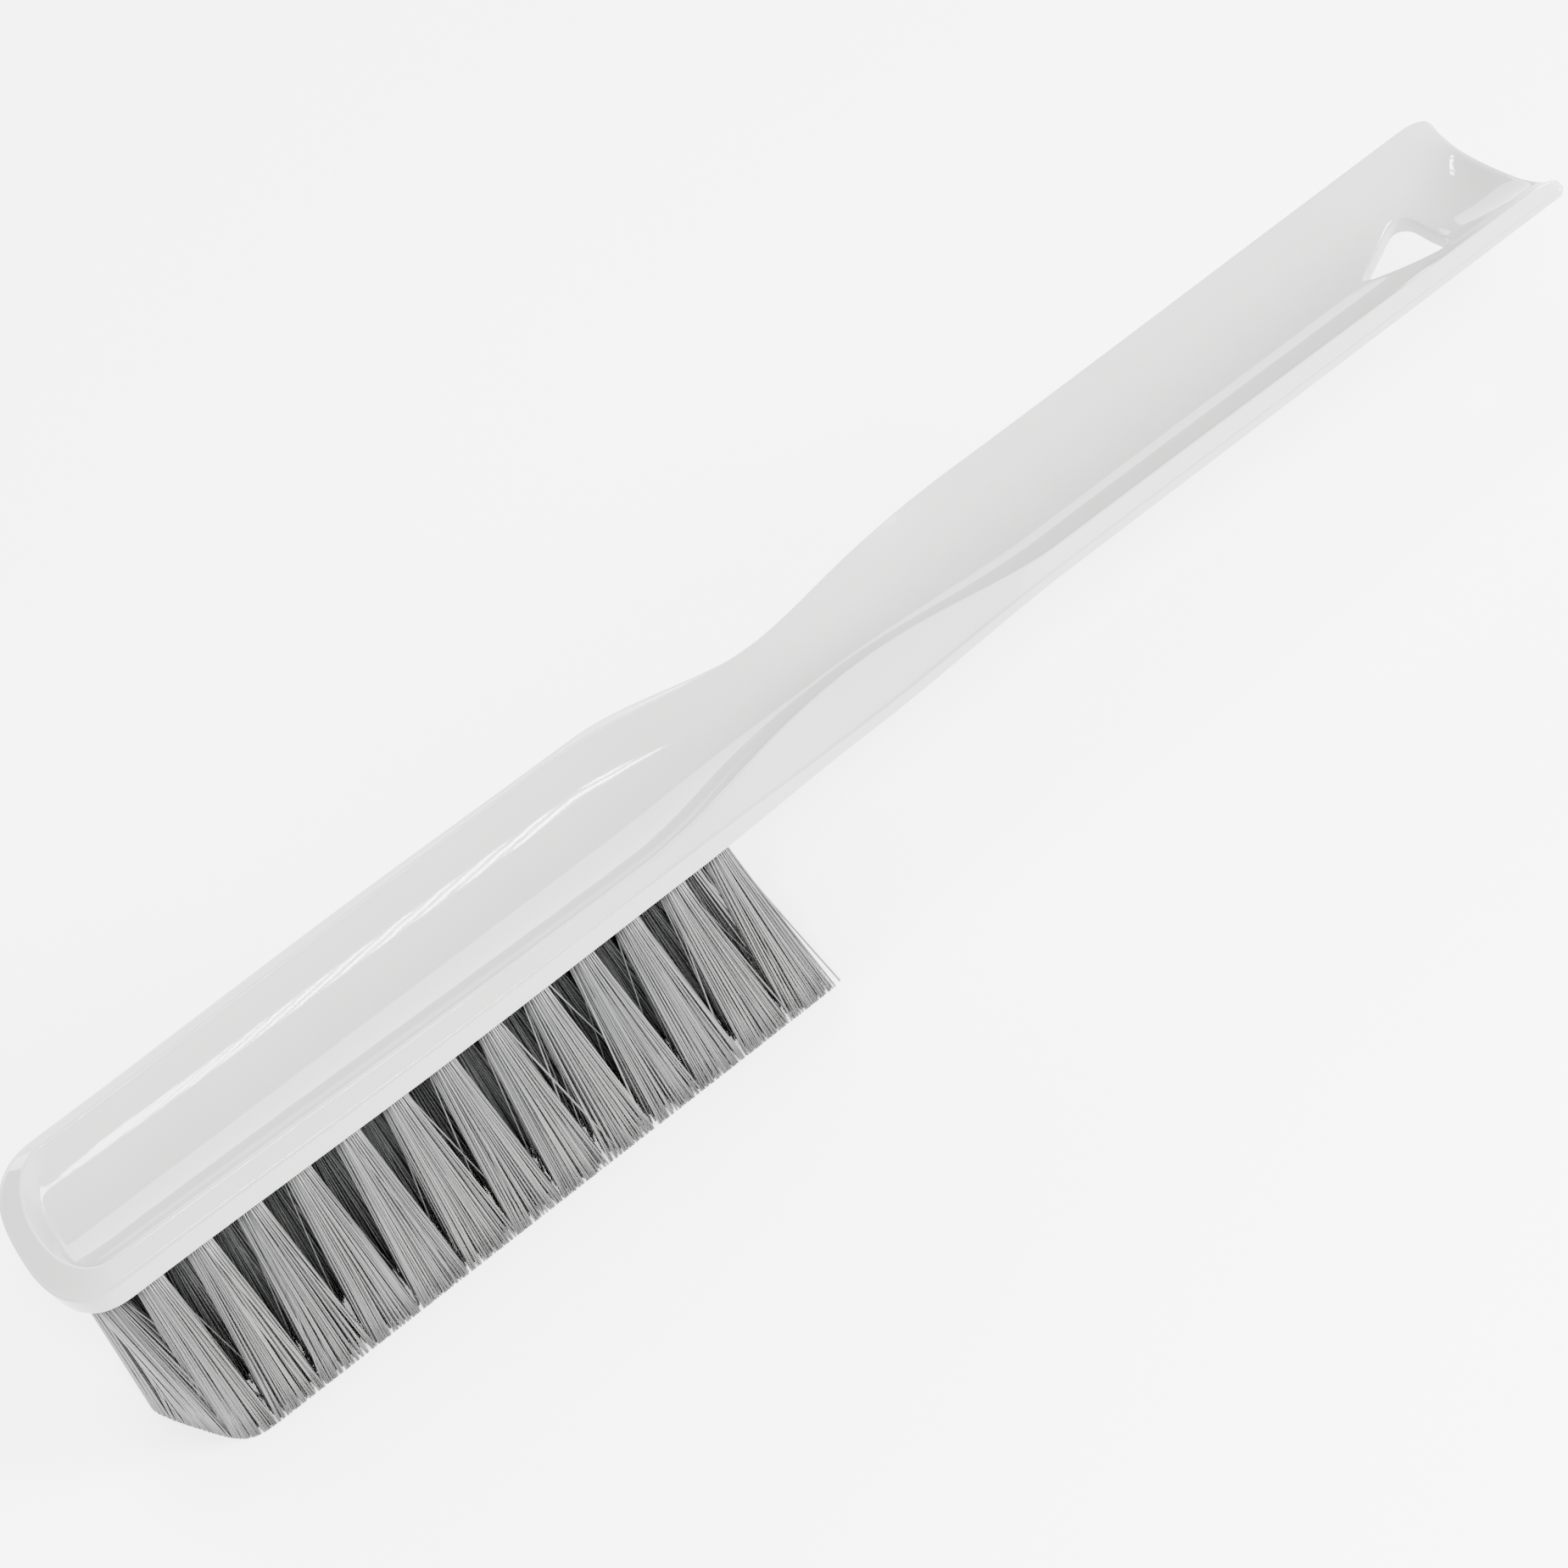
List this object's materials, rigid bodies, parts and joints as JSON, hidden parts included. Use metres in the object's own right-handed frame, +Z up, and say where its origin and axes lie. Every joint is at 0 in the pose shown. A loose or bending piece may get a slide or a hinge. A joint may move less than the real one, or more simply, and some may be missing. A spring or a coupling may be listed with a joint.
{
  "type": "hand brush",
  "caption": "Long-handled moulded plastic hand brush with a dished head and grip, a hanging hole in the tail, and trimmed filament tufts under the head.",
  "frame": {"origin": "middle of the footprint, on the plane of the trimmed bristle tips", "axes": "+X along the handle towards its tail, +Z up through the head with the bristles down, Y across the brush"},
  "size_m": [0.32, 0.0404, 0.05],
  "materials": {
    "moulded_body": "gloss moulded polypropylene, pale grey-white",
    "filament": "drawn polyester filament, mid grey, satin",
    "anchor_wire": "flat drawn wire"
  },
  "bodies": {
    "root": {"brush_body": "moulded_body", "tuft_anchors": "anchor_wire", "tuft_row1_01": "filament", "tuft_row1_02": "filament", "tuft_row1_03": "filament", "tuft_row1_04": "filament", "tuft_row1_05": "filament", "tuft_row1_06": "filament", "tuft_row1_07": "filament", "tuft_row1_08": "filament", "tuft_row1_09": "filament", "tuft_row1_10": "filament", "tuft_row1_11": "filament", "tuft_row1_12": "filament", "tuft_row1_13": "filament", "tuft_row2_01": "filament", "tuft_row2_02": "filament", "tuft_row2_03": "filament", "tuft_row2_04": "filament", "tuft_row2_05": "filament", "tuft_row2_06": "filament", "tuft_row2_07": "filament", "tuft_row2_08": "filament", "tuft_row2_09": "filament", "tuft_row2_10": "filament", "tuft_row2_11": "filament", "tuft_row2_12": "filament", "tuft_row2_13": "filament", "tuft_row3_01": "filament", "tuft_row3_02": "filament", "tuft_row3_03": "filament", "tuft_row3_04": "filament", "tuft_row3_05": "filament", "tuft_row3_06": "filament", "tuft_row3_07": "filament", "tuft_row3_08": "filament", "tuft_row3_09": "filament", "tuft_row3_10": "filament", "tuft_row3_11": "filament", "tuft_row3_12": "filament", "tuft_row3_13": "filament", "tuft_row4_01": "filament", "tuft_row4_02": "filament", "tuft_row4_03": "filament", "tuft_row4_04": "filament", "tuft_row4_05": "filament", "tuft_row4_06": "filament", "tuft_row4_07": "filament", "tuft_row4_08": "filament", "tuft_row4_09": "filament", "tuft_row4_10": "filament", "tuft_row4_11": "filament", "tuft_row4_12": "filament", "tuft_row4_13": "filament", "tuft_end_1": "filament", "tuft_end_2": "filament", "tuft_end_3": "filament"}
  },
  "joints": []
}
